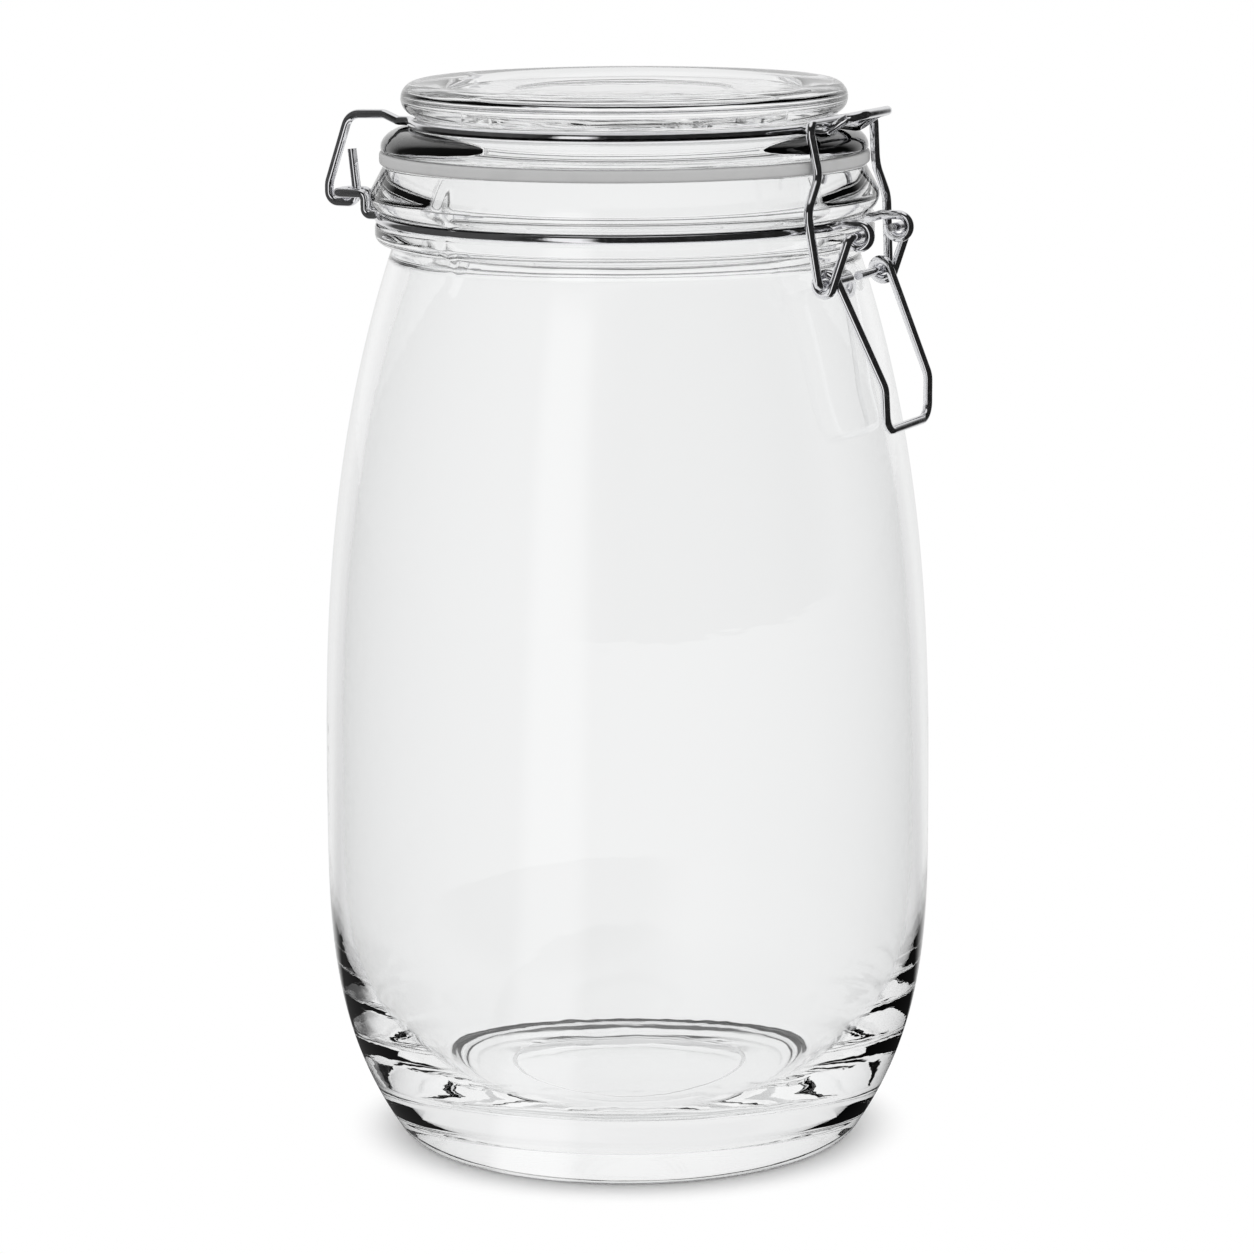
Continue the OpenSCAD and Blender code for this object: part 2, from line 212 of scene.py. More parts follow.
def make_waves(piece, chosen, size, strength):
    """Lets the chosen vertices stray from the true surface, as pressed glass does."""
    group = piece.vertex_groups.new(name="waves")
    for vertex in piece.data.vertices:
        weight = chosen(vertex.co)
        if weight > 0:
            group.add([vertex.index], weight, "REPLACE")
    cloud = bpy.data.textures.new(piece.name + "_waves", "CLOUDS")
    cloud.noise_scale = size
    cloud.noise_depth = 1
    bpy.ops.object.modifier_add(type="DISPLACE")
    waves = piece.modifiers[-1]
    waves.texture = cloud
    waves.texture_coords = "LOCAL"
    waves.vertex_group = group.name
    waves.strength = strength
    waves.mid_level = 0.5
    bpy.ops.object.modifier_apply(modifier=waves.name)


def raise_seam(piece, turned, low, high, height):
    """Lifts the outer skin along a mould seam at an angle round the axis, from one height to another."""
    bpy.ops.object.mode_set(mode="EDIT")
    bpy.ops.mesh.select_all(action="DESELECT")
    bpy.ops.mesh.select_mode(type="VERT")
    bpy.ops.object.mode_set(mode="OBJECT")
    for vertex in piece.data.vertices:
        here = math.degrees(math.atan2(vertex.co.y, vertex.co.x))
        away = abs((here - turned + 180) % 360 - 180)
        outer = vertex.normal.x * vertex.co.x + vertex.normal.y * vertex.co.y > 0
        vertex.select = away < 0.75 and outer and low < vertex.co.z < high
    bpy.ops.object.mode_set(mode="EDIT")
    bpy.ops.transform.shrink_fatten(value=height)
    bpy.ops.object.mode_set(mode="OBJECT")


# ---------------------------------------------------------------- outlines and routes


def arc(centre, wide, tall, first, last, steps=12):
    """Points of an arc in an outline, squashed to two radii, between two angles in degrees."""
    angles = [math.radians(first + (last - first) * i / steps) for i in range(steps + 1)]
    return [(centre[0] + wide * math.cos(a), centre[1] + tall * math.sin(a)) for a in angles]


def chord(r, y):
    """Distance along X from the axis to a circle of radius r, at the offset y."""
    return math.sqrt(r * r - y * y)


def spread(route):
    """The route without the points that fall on the one before."""
    kept = [route[0]]
    for point in route[1:]:
        if (point - kept[-1]).length > 0.00002:
            kept.append(point)
    return kept


def corner(a, b, c, radius, step=7.5):
    """The points of a corner b between a and c, rounded to a radius."""
    into = (b - a).normalized()
    away = (c - b).normalized()
    angle = math.acos(max(-1, min(1, into.dot(away))))
    inward = (away - into * into.dot(away)).normalized()
    start = b - into * radius * math.tan(angle / 2)
    steps = max(1, math.ceil(math.degrees(angle) / step))
    turns = [angle * i / steps for i in range(steps + 1)]
    return [start + radius * (into * math.sin(t) + inward * (1 - math.cos(t))) for t in turns]


def rounded(corners, radii):
    """A route through the corners, each inner corner rounded to its radius."""
    route = [corners[0]]
    for i in range(1, len(corners) - 1):
        route += corner(corners[i - 1], corners[i], corners[i + 1], radii[i])
    return route + [corners[-1]]


def ring_line(r, first, last, z):
    """Points of a ring at height z from one angle to another, without its ends."""
    steps = math.ceil(abs(last - first) / 1.5)
    angles = [math.radians(first + (last - first) * i / steps) for i in range(1, steps)]
    return [Vector((r * math.cos(a), r * math.sin(a), z)) for a in angles]


def on_ring(r, angle, z):
    """The point of a ring at an angle in degrees."""
    return Vector((r * math.cos(math.radians(angle)), r * math.sin(math.radians(angle)), z))


def leave(r, angle, y):
    """Where the line at offset y meets the ring's tangent at an angle."""
    a = math.radians(angle)
    t = (y / r - math.sin(a)) / math.cos(a)
    return r * (math.cos(a) - t * math.sin(a))


def mirrored(route):
    """The other half of a route that is the same on both sides of the XZ plane."""
    return [Vector((p.x, -p.y, p.z)) for p in reversed(route)]


def body_curve(sizes, z):
    """Outer radius of the body at height z: one curve below the belly and one above it."""
    if z < sizes.belly_z:
        return BODY_R - (BODY_R - sizes.foot_r - 0.0017) * ((sizes.belly_z - z) / sizes.belly_z) ** 3.25
    rise = min(1, (z - sizes.belly_z) / (NECK_Z - sizes.belly_z))
    return BODY_R - (BODY_R - sizes.neck_r) * rise ** 2.6


def bore_curve(sizes, z):
    """Inner radius of the body at height z."""
    inside = BODY_R - sizes.wall
    if z < sizes.belly_z:
        fall = (sizes.belly_z - z) / (sizes.belly_z - sizes.punt - sizes.floor)
        return inside - (inside - sizes.foot_r + 0.0065) * fall ** 3.8
    rise = min(1, (z - sizes.belly_z) / (NECK_Z - sizes.belly_z))
    return inside - (inside - sizes.mouth_r) * rise ** 2.6


def jar_outline(sizes, wire):
    """The jar's outline: punt, heel, side, bead, groove, rim bulge, mouth and bore."""
    groove_r = sizes.bead_r - wire.ring_d
    half_groove = wire.ring_d / 2 + WIRE_GAP
    foot = sizes.foot_r
    under = [(0, sizes.punt), (0.012, sizes.punt - 0.0001), (0.0240, sizes.punt - 0.0005)]
    under += arc((0.0252, sizes.punt - 0.0009), 0.0007, 0.0005, 150, 270, 5)
    under += [(0.030, sizes.punt - 0.0015), (foot - 0.008, 0.0010)]
    heel = arc((foot - 0.0030, 0.0012), 0.0032, 0.0012, 200, 270, 6)
    heel += arc((foot, 0.0018), 0.0024, 0.0018, 270, 330, 6)
    low = 0.0016
    heights = [low + (NECK_Z - low) * (i / 72) ** 1.15 for i in range(73)]
    side = [(body_curve(sizes, z), z) for z in heights]
    bead_low = NECK_Z + 0.0006
    bead_top = GROOVE_Z - half_groove
    bead = arc((sizes.bead_r - 0.0019, bead_low + 0.0019), 0.0019, 0.0019, -70, 0)
    bead += arc((sizes.bead_r - 0.0008, bead_top - 0.0008), 0.0008, 0.0008, 0, 80, 6)
    groove = arc((groove_r + 0.0003, GROOVE_Z - half_groove + 0.0003), 0.0003, 0.0003, 250, 180, 4)
    groove += arc((groove_r + 0.0003, GROOVE_Z + half_groove - 0.0003), 0.0003, 0.0003, 180, 110, 4)
    bulge = arc((sizes.bulge_r - 0.003, GROOVE_Z + half_groove + 0.0032), 0.003, 0.0032, -75, 0, 14)
    bulge += [(sizes.bulge_r - 0.0001, GROOVE_Z + half_groove + 0.0042)]
    bulge += arc((sizes.bulge_r - 0.0034, RIM_Z - 0.0009), 0.0009, 0.0009, 15, 90, 8)
    mouth = arc((sizes.mouth_r + 0.0012, RIM_Z - 0.0012), 0.0012, 0.0012, 90, 180, 8)
    mouth += [(sizes.mouth_r, z) for z in (RIM_Z - 0.005, NECK_Z + 0.006, NECK_Z + 0.002)]
    floor_z = sizes.punt + sizes.floor
    depths = [floor_z + (NECK_Z - floor_z) * (i / 64) ** 1.3 for i in range(64, -1, -1)]
    bore = [(bore_curve(sizes, z), z) for z in depths]
    floor = [(r, floor_z - 0.0006 * (1 - r / 0.036)) for r in (0.032, 0.026, 0.018, 0.010, 0)]
    return under + heel + side + bead + groove + bulge + mouth + bore + floor


def lid_outline(sizes, wire):
    """The lid's outline: disc circle, plate, crown, shoulder, seat, boss and hollow."""
    neck_r = sizes.crown_r - sizes.crown_t / 2 + 0.0002
    shoulder_z = wire.lid_ring_z - wire.ring_d / 2 - WIRE_GAP
    crown_z = TOP_Z - sizes.crown_t / 2
    boss_r = sizes.mouth_r - 0.0009
    plate_z = TOP_Z - 0.00165
    disc = [(0, TOP_Z - 0.002), (0.010, TOP_Z - 0.00198), (sizes.disc_r - 0.0012, TOP_Z - 0.0019)]
    disc += arc((sizes.disc_r, plate_z), 0.0006, 0.0003, 230, 50, 8)
    plate = [(sizes.crown_r - 0.0095, plate_z)]
    plate += arc((sizes.crown_r - 0.0062, TOP_Z - 0.0027), 0.0034, 0.0021, 155, 90, 8)
    half_crown = sizes.crown_t / 2
    crown = arc((sizes.crown_r - half_crown, crown_z), half_crown, half_crown, 84, -84, 30)
    middle = (neck_r + 0.0012, SEAT_Z + 0.0009)
    shoulder = [(neck_r, shoulder_z + 0.0006)]
    shoulder += arc(middle, sizes.seat_r - middle[0], shoulder_z - middle[1], 90, 0, 16)
    seat = arc((sizes.seat_r - 0.0007, SEAT_Z + 0.0007), 0.0007, 0.0007, 0, -90, 6)
    seat += [(boss_r + 0.0006, SEAT_Z)]
    boss = [(boss_r, SEAT_Z - 0.0006)]
    boss += arc((boss_r - 0.0012, RIM_Z + 0.0006), 0.0012, 0.001, 0, -120, 10)
    hollow = arc((boss_r - 0.0062, SEAT_Z + 0.0018), 0.0026, 0.0030, 10, 90, 8)
    hollow += [(r, SEAT_Z + 0.0054) for r in (0.024, 0.012, 0)]
    return disc + plate + crown + shoulder + seat + boss + hollow


def neck_ring_route(sizes, wire):
    """The ring in the neck groove: two curls that hold the lever, and two ears that carry the lid."""
    r, z = wire.neck_ring_r, GROOVE_Z
    curl_r = wire.latch_d / 2 + GLASS_GAP + WIRE_GAP + wire.ring_d / 2
    front = math.degrees(math.asin(wire.curl_y / r)) + 3
    ear_y = wire.ring_d + SIDE_GAP + 0.0007
    y_out, y_in = wire.hook_y + ear_y, wire.hook_y - ear_y
    a_out = 180 + math.degrees(math.asin(y_out / r)) + 3
    a_in = 180 + math.degrees(math.asin(y_in / r)) - 4
    riser_r = sizes.bulge_r + GLASS_GAP + wire.ring_d / 2 + WIRE_GAP
    y = -wire.curl_y
    curl = [
        on_ring(r, -front, z),
        Vector((leave(r, -front, y), y, z)),
        Vector((PIVOT.x - 0.0034, y, PIVOT.z + curl_r)),
        Vector((PIVOT.x + curl_r, y, PIVOT.z + curl_r)),
        Vector((PIVOT.x + curl_r, y, PIVOT.z - curl_r)),
        Vector((PIVOT.x - curl_r, y, PIVOT.z - curl_r)),
        Vector((PIVOT.x - curl_r, y, PIVOT.z + GLASS_GAP)),
    ]
    ear = [
        on_ring(r, a_out, z),
        Vector((leave(r, a_out, -y_out), -y_out, z)),
        Vector((-chord(riser_r, y_out), -y_out, z)),
        Vector((-chord(riser_r, y_out), -y_out, HINGE.z)),
        Vector((HINGE.x, -y_out, HINGE.z)),
        Vector((HINGE.x, -y_in, HINGE.z)),
        Vector((-chord(riser_r, y_in), -y_in, HINGE.z)),
        Vector((-chord(riser_r, y_in), -y_in, z)),
        Vector((leave(r, a_in, -y_in), -y_in, z)),
        on_ring(r, a_in, z),
    ]
    curl_bends = [0, 0.0018, 0.002, curl_r, curl_r, curl_r, 0]
    ear_bends = [0, 0.0018, 0.0012, 0.0012, 0.0016, 0.0016, 0.0012, 0.0012, 0.0018, 0]
    half = list(reversed(rounded(curl, curl_bends)))
    half += list(reversed(ring_line(r, a_out, 360 - front, z)))
    half += rounded(ear, ear_bends)
    half += ring_line(r, a_in, 180, z)
    return half + [Vector((-r, 0, z))] + mirrored(half)


def valley_point(wire):
    """The middle of the lid ring's nose, where it dips for the yoke's crossbar."""
    return Vector((wire.lid_ring_r + 0.0044, 0, wire.lid_ring_z - 0.0005))


def lid_ring_route(sizes, wire):
    """The ring on the lid: a nose for the yoke in front, and two hooks round the ears behind."""
    r, z = wire.lid_ring_r, wire.lid_ring_z
    front = math.degrees(math.asin(wire.nose_y / r)) + 3
    rear = 180 + math.degrees(math.asin(wire.hook_y / r)) + 4
    valley = valley_point(wire)
    tip = valley + Vector((0.007, 0, 0.0035))
    y = -wire.nose_y
    nose = [
        on_ring(r, -front, z),
        Vector((leave(r, -front, y), y, z)),
        Vector((valley.x, y, valley.z)),
        Vector((tip.x - 0.003, y, tip.z - 0.0008)),
        Vector((tip.x, y, tip.z)),
        Vector((tip.x, 0, tip.z)),
    ]
    crown_r, drop = sizes.crown_r, wire.ring_d + SIDE_GAP
    y = -wire.hook_y
    hook = [
        on_ring(r, rear, z),
        Vector((leave(r, rear, y), y, z)),
        Vector((-crown_r + 0.0022, y, z)),
        Vector((-crown_r - 0.0008, y, z + 0.0012)),
        Vector((HINGE.x + 0.0019, y, z + 0.0010)),
        Vector((HINGE.x - 0.0028, y, HINGE.z + 0.0016)),
        Vector((HINGE.x - 0.0028, y, HINGE.z - drop)),
        Vector((HINGE.x + 0.0036, y, HINGE.z - drop)),
        Vector((HINGE.x + 0.0024, y, HINGE.z + 0.0085)),
    ]
    hook_bends = [0, 0.0018, 0.0015, 0.002, 0.0032, 0.004, 0.002, 0.002, 0]
    nose_bends = [0, 0.0018, 0.0025, 0.004, 0.003, 0]
    half = list(reversed(rounded(hook, hook_bends)))
    half += ring_line(r, rear, 360 - front, z)
    half += rounded(nose, nose_bends)
    return half + mirrored(half)


def yoke_route(sizes, wire):
    """The yoke: a crossbar in the nose's valley, zigzag legs, and ends that turn in to the coils."""
    lift = wire.ring_d / 2 + wire.latch_d / 2 + SIDE_GAP
    bar = valley_point(wire) + Vector((-0.00015, 0, lift))
    gasket_clear = GASKET_R + GLASS_GAP + wire.latch_d / 2
    bulge_clear = sizes.bulge_r + GLASS_GAP + wire.latch_d / 2
    leg_y = wire.arm_y + wire.latch_d + SIDE_GAP + 0.0002
    wide_y, slim_y = wire.yoke_y + 0.0037, wire.yoke_y - 0.002
    half = [
        Vector((COIL.x, -0.0022, COIL.z)),
        Vector((COIL.x, -leg_y, COIL.z)),
        Vector((chord(bulge_clear, wide_y) + 0.0002, -wide_y, GROOVE_Z + 0.0038)),
        Vector((chord(gasket_clear, slim_y) + 0.0001, -slim_y, RIM_Z - 0.0001)),
        Vector((bar.x, -wire.yoke_y, bar.z)),
    ]
    bends = [0, 0.0014, 0.004, 0.004, 0.0018]
    return rounded(half + mirrored(half), bends + bends[::-1])


def lever_route(sizes, wire):
    """The lever: a pin in each curl, a coil round each end of the yoke, and the handle's loop."""
    coil_r = wire.latch_d + 0.00015
    handle_y = wire.arm_y - wire.latch_d - SIDE_GAP
    grip_z = COIL.z - wire.handle
    grip = Vector((body_curve(sizes, grip_z) + wire.grip_gap + wire.latch_d / 2, 0, grip_z))
    kink = grip + Vector((-0.0002, 0, 0.0083))
    down, out = COIL - PIVOT, kink - COIL
    a_in = math.degrees(math.atan2(down.z, down.x) + math.asin(coil_r / down.length)) + 90
    a_last = math.degrees(math.atan2(out.z, out.x) - math.asin(coil_r / out.length)) - 270
    steps = 48
    turns = []
    for i in range(steps + 1):
        a = math.radians(a_in + (a_last - a_in) * i / steps)
        y = -wire.arm_y + (wire.arm_y - handle_y) * i / steps
        turns.append(Vector((COIL.x + coil_r * math.cos(a), y, COIL.z + coil_r * math.sin(a))))
    arm = [Vector((PIVOT.x, -0.0065, PIVOT.z)), Vector((PIVOT.x, -wire.arm_y, PIVOT.z)), turns[0]]
    shoulder = Vector((kink.x, -wire.grip_y - 0.0006, kink.z))
    loop = [turns[-1], shoulder, Vector((grip.x, -wire.grip_y, grip.z))]
    loop += mirrored(loop)
    half = rounded(arm, [0, 0.0013, 0]) + turns
    return half + rounded(loop, [0, 0.005, 0.0034, 0.0034, 0.005, 0]) + mirrored(half)


# ---------------------------------------------------------------- finishes


def new_group(name, inputs, outputs):
    """A shader node group with named inputs, given with their defaults, and named outputs."""
    group = bpy.data.node_groups.new(name, "ShaderNodeTree")
    for title, default in inputs:
        kind = "NodeSocketFloat" if isinstance(default, float) else "NodeSocketVector"
        group.interface.new_socket(title, in_out="INPUT", socket_type=kind).default_value = default
    for title in outputs:
        group.interface.new_socket(title, in_out="OUTPUT", socket_type="NodeSocketFloat")
    return group, group.nodes.new("NodeGroupInput"), group.nodes.new("NodeGroupOutput")


def ripple_group():
    """Long soft ripples with a few short ones, as a mould leaves in glass."""
    inputs = [("Long", 40.0), ("Short", 160.0), ("Share", 0.25)]
    group, given, result = new_group("Glass ripple", inputs, ["Height"])
    place = group.nodes.new("ShaderNodeTexCoord")
    squash = group.nodes.new("ShaderNodeMapping")
    squash.inputs["Scale"].default_value = (1, 1, 2.2)
    group.links.new(place.outputs["Object"], squash.inputs["Vector"])
    heights = []
    for scale in ("Long", "Short"):
        noise = group.nodes.new("ShaderNodeTexNoise")
        noise.inputs["Detail"].default_value = 1.0
        group.links.new(squash.outputs["Vector"], noise.inputs["Vector"])
        group.links.new(given.outputs[scale], noise.inputs["Scale"])
        heights.append(noise.outputs["Fac"])
    mix = group.nodes.new("ShaderNodeMix")
    group.links.new(given.outputs["Share"], mix.inputs["Factor"])
    group.links.new(heights[0], mix.inputs["A"])
    group.links.new(heights[1], mix.inputs["B"])
    group.links.new(mix.outputs["Result"], result.inputs["Height"])
    return group


def marks_group():
    """Fine marks of handling and of the drawing die, as a mask and a height."""
    group, given, result = new_group("Fine marks", [("Scale", 900.0), ("Amount", 0.35)], ["Mask", "Height"])
    place = group.nodes.new("ShaderNodeTexCoord")
    noise = group.nodes.new("ShaderNodeTexNoise")
    noise.inputs["Detail"].default_value = 3.0
    group.links.new(place.outputs["Object"], noise.inputs["Vector"])
    group.links.new(given.outputs["Scale"], noise.inputs["Scale"])
    limit = group.nodes.new("ShaderNodeMapRange")
    limit.inputs["From Min"].default_value = 0.45
    limit.inputs["From Max"].default_value = 0.75
    group.links.new(noise.outputs["Fac"], limit.inputs["Value"])
    amount = group.nodes.new("ShaderNodeMath")
    amount.operation = "MULTIPLY"
    group.links.new(limit.outputs["Result"], amount.inputs[0])
    group.links.new(given.outputs["Amount"], amount.inputs[1])
    group.links.new(amount.outputs["Value"], result.inputs["Mask"])
    group.links.new(noise.outputs["Fac"], result.inputs["Height"])
    return group


def new_material(name):
    """A material with its Principled shader."""
    material = bpy.data.materials.new(name)
    material.use_nodes = True
    return material, material.node_tree, material.node_tree.nodes["Principled BSDF"]


def add_group(tree, group, values):
    """A node that runs the group with the material's own values."""
    node = tree.nodes.new("ShaderNodeGroup")
    node.node_tree = group
    for title, value in values.items():
        node.inputs[title].default_value = value
    return node


def add_bump(tree, shader, height, strength, distance):
    """A bump of the height on the shader's normal."""
    bump = tree.nodes.new("ShaderNodeBump")
    bump.inputs["Strength"].default_value = strength
    bump.inputs["Distance"].default_value = distance
    tree.links.new(height, bump.inputs["Height"])
    tree.links.new(bump.outputs["Normal"], shader.inputs["Normal"])


def glass_material(name, finishes, ripple, strength):
    """Clear glass with painted shade: its colour greys where it is seen edge-on, and its surface ripples a
    little.
    """
    material, tree, shader = new_material(name)
    shader.inputs["Transmission Weight"].default_value = 1.0
    shader.inputs["IOR"].default_value = 1.5
    shader.inputs["Roughness"].default_value = 0.0
    # Painted shade: the colour is mixed towards grey where the glass is seen edge-on.
    skim = tree.nodes.new("ShaderNodeLayerWeight")
    skim.inputs["Blend"].default_value = 0.08
    edge = tree.nodes.new("ShaderNodeMix")
    edge.data_type = "RGBA"
    edge.inputs["A"].default_value = (*finishes.glass, 1)
    edge.inputs["B"].default_value = (*finishes.edge_on_painted_shade, 1)
    tree.links.new(skim.outputs["Facing"], edge.inputs["Factor"])
    tree.links.new(edge.outputs["Result"], shader.inputs["Base Color"])
    waves = add_group(tree, ripple, {"Long": 45.0, "Short": 210.0, "Share": 0.3})
    add_bump(tree, shader, waves.outputs["Height"], strength, 0.001)
    return material


def wire_material(name, finishes, marks, roughness):
    """Bright drawn wire with fine marks."""
    material, tree, shader = new_material(name)
    shader.inputs["Base Color"].default_value = (*finishes.steel, 1)
    shader.inputs["Metallic"].default_value = 1.0
    fine = add_group(tree, marks, {"Scale": 700.0, "Amount": 0.12})
    rough = tree.nodes.new("ShaderNodeMath")
    rough.operation = "ADD"
    rough.inputs[1].default_value = roughness
    tree.links.new(fine.outputs["Mask"], rough.inputs[0])
    tree.links.new(rough.outputs["Value"], shader.inputs["Roughness"])
    add_bump(tree, shader, fine.outputs["Height"], 0.06, 0.0002)
    return material


def rubber_material(name, finishes, marks):
    """Matt pale rubber, a little mottled."""
    material, tree, shader = new_material(name)
    shader.inputs["Roughness"].default_value = 0.62
    shader.inputs["Specular IOR Level"].default_value = 0.35
    fine = add_group(tree, marks, {"Scale": 260.0, "Amount": 0.5})
    shade = tree.nodes.new("ShaderNodeMix")
    shade.data_type = "RGBA"
    shade.inputs["A"].default_value = (*finishes.rubber, 1)
    shade.inputs["B"].default_value = (*(c * 0.88 for c in finishes.rubber), 1)
    tree.links.new(fine.outputs["Mask"], shade.inputs["Factor"])
    tree.links.new(shade.outputs["Result"], shader.inputs["Base Color"])
    add_bump(tree, shader, fine.outputs["Height"], 0.25, 0.0002)
    return material


def finish_piece(piece, material, node, body):
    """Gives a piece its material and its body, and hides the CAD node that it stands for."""
    piece.data.materials.clear()
    piece.data.materials.append(material)
    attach(piece, body)
    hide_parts(node)


# ---------------------------------------------------------------- operators


class JARLOOK_OT_jar(Operator):
    """Turn the glass jar, with its waves and mould seams"""

    bl_idname = "jarlook.jar"
    bl_label = "Glass jar"

    def execute(self, context):
        scene = context.scene
        sizes = scene.jar_glass
        piece = turn_profile("glass_jar", jar_outline(sizes, scene.jar_wires))
        floor_z = sizes.punt + sizes.floor

        def inner(co):
            """How strongly a vertex strays: only on the bore, most at the floor's edge and the neck."""
            off_bore = math.hypot(co.x, co.y) - bore_curve(sizes, min(co.z, NECK_Z))
            if co.z < floor_z - 0.0007 or off_bore > 0.0003:
                return 0
            foot = max(0, 1 - co.z / 0.05)
            neck = max(0, 1 - abs(co.z - NECK_WAVES_Z) / 0.012)
            return min(1, max(0.12, foot * 0.6, neck * 2.2))

        make_waves(piece, inner, 0.014, sizes.wave)
        for turned in SEAM_TURNS:
            raise_seam(piece, turned, GROOVE_Z - 0.009, RIM_Z - 0.002, sizes.seam)
        ripple = bpy.data.node_groups["Glass ripple"]
        material = glass_material("Jar glass", scene.jar_finishes, ripple, 0.03)
        finish_piece(piece, material, "jar", "jar")
        return {"FINISHED"}


class JARLOOK_OT_lid(Operator):
    """Turn the glass lid"""

    bl_idname = "jarlook.lid"
    bl_label = "Glass lid"

    def execute(self, context):
        scene = context.scene
        sizes = scene.jar_glass
        piece = turn_profile("glass_lid", lid_outline(sizes, scene.jar_wires))
        waved_r = 0.036
        make_waves(piece, lambda co: float(math.hypot(co.x, co.y) < waved_r), 0.018, sizes.wave)
        ripple = bpy.data.node_groups["Glass ripple"]
        material = glass_material("Lid glass", scene.jar_finishes, ripple, 0.06)
        finish_piece(piece, material, "lid", "lid")
        return {"FINISHED"}


class JARLOOK_OT_gasket(Operator):
    """Turn the rubber gasket, with rounded edges"""

    bl_idname = "jarlook.gasket"
    bl_label = "Gasket"

    def execute(self, context):
        scene = context.scene
        low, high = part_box("gasket")
        inner = scene.jar_glass.mouth_r - 0.0006
        outline = [(inner, low.z + 0.0004)]
        outline += arc((inner + 0.0004, low.z + 0.0004), 0.0004, 0.0004, 180, 270, 4)
        outline += arc((high.x - 0.0006, low.z + 0.0006), 0.0006, 0.0006, 270, 360, 6)
        outline += arc((high.x - 0.0006, high.z - 0.0006), 0.0006, 0.0006, 0, 90, 6)
        outline += arc((inner + 0.0004, high.z - 0.0004), 0.0004, 0.0004, 90, 180, 4)
        piece = turn_profile("rubber_gasket", outline + outline[:1])
        material = rubber_material("Gasket rubber", scene.jar_finishes, bpy.data.node_groups["Fine marks"])
        finish_piece(piece, material, "gasket", "lid")
        return {"FINISHED"}


class JARLOOK_OT_rings(Operator):
    """Bend the ring in the neck groove and the ring on the lid"""

    bl_idname = "jarlook.rings"
    bl_label = "Ring wires"

    def execute(self, context):
        scene = context.scene
        wires = scene.jar_wires
        marks = bpy.data.node_groups["Fine marks"]
        material = wire_material("Ring wire", scene.jar_finishes, marks, 0.06)
        lower = bend_wire("neck_wire", neck_ring_route(scene.jar_glass, wires), wires.ring_d)
        finish_piece(lower, material, "neck_ring", "jar")
        upper = bend_wire("lid_wire", lid_ring_route(scene.jar_glass, wires), wires.ring_d)
        finish_piece(upper, material, "lid_ring", "lid")
        return {"FINISHED"}


class JARLOOK_OT_latch(Operator):
    """Bend the yoke and the lever"""

    bl_idname = "jarlook.latch"
    bl_label = "Latch wires"

    def execute(self, context):
        scene = context.scene
        wires = scene.jar_wires
        marks = bpy.data.node_groups["Fine marks"]
        material = wire_material("Latch wire", scene.jar_finishes, marks, 0.05)
        yoke = bend_wire("yoke_wire", yoke_route(scene.jar_glass, wires), wires.latch_d)
        finish_piece(yoke, material, "yoke", "yoke")
        lever = bend_wire("lever_wire", lever_route(scene.jar_glass, wires), wires.latch_d)
        finish_piece(lever, material, "lever", "lever")
        return {"FINISHED"}


class JARLOOK_OT_stage(Operator):
    """Lay the floor, light the studio and set up the camera"""

    bl_idname = "jarlook.stage"
    bl_label = "Floor, light and camera"

    def execute(self, context):
        scene = context.scene
        deselect()
        below = (0, 0, -0.0001)
        bpy.ops.mesh.primitive_circle_add(vertices=96, radius=6, fill_type="NGON", location=below)
        floor = context.active_object
        floor.name = "studio_floor"
        material = floor_material(scene.jar_finishes, bpy.data.node_groups["Studio"])
        floor.data.materials.append(material)
        light_studio(scene)
        set_camera(scene)
        return {"FINISHED"}


# ---------------------------------------------------------------- the studio


def smooth_step(tree, value, low, high):
    """A soft step from 0 at one value to 1 at another."""
    step = tree.nodes.new("ShaderNodeMapRange")
    step.interpolation_type = "SMOOTHSTEP"
    step.inputs["From Min"].default_value = low
    step.inputs["From Max"].default_value = high
    tree.links.new(value, step.inputs["Value"])
    return step.outputs["Result"]


def facing(tree, direction, centre, reach, soft):
    """1 within an angle of a direction, falling to 0 over its soft edge."""
    dot = tree.nodes.new("ShaderNodeVectorMath")
    dot.operation = "DOT_PRODUCT"
    dot.inputs[1].default_value = Vector(centre).normalized()
    tree.links.new(direction, dot.inputs[0])
    edge, full = math.cos(math.radians(reach + soft)), math.cos(math.radians(reach))
    return smooth_step(tree, dot.outputs["Value"], edge, full)


def level(azimuth, height=0.0):
    """The direction at an azimuth in degrees, raised by a height."""
    return (math.cos(math.radians(azimuth)), math.sin(math.radians(azimuth)), height)


def add_values(tree, first, second, operation="ADD"):
    """A maths node on two values, either of which may be a socket or a number."""
    node = tree.nodes.new("ShaderNodeMath")
    node.operation = operation
    for socket, value in zip(node.inputs, (first, second)):
        if isinstance(value, (int, float)):
            socket.default_value = value
        else:
            tree.links.new(value, socket)
    return node.outputs["Value"]


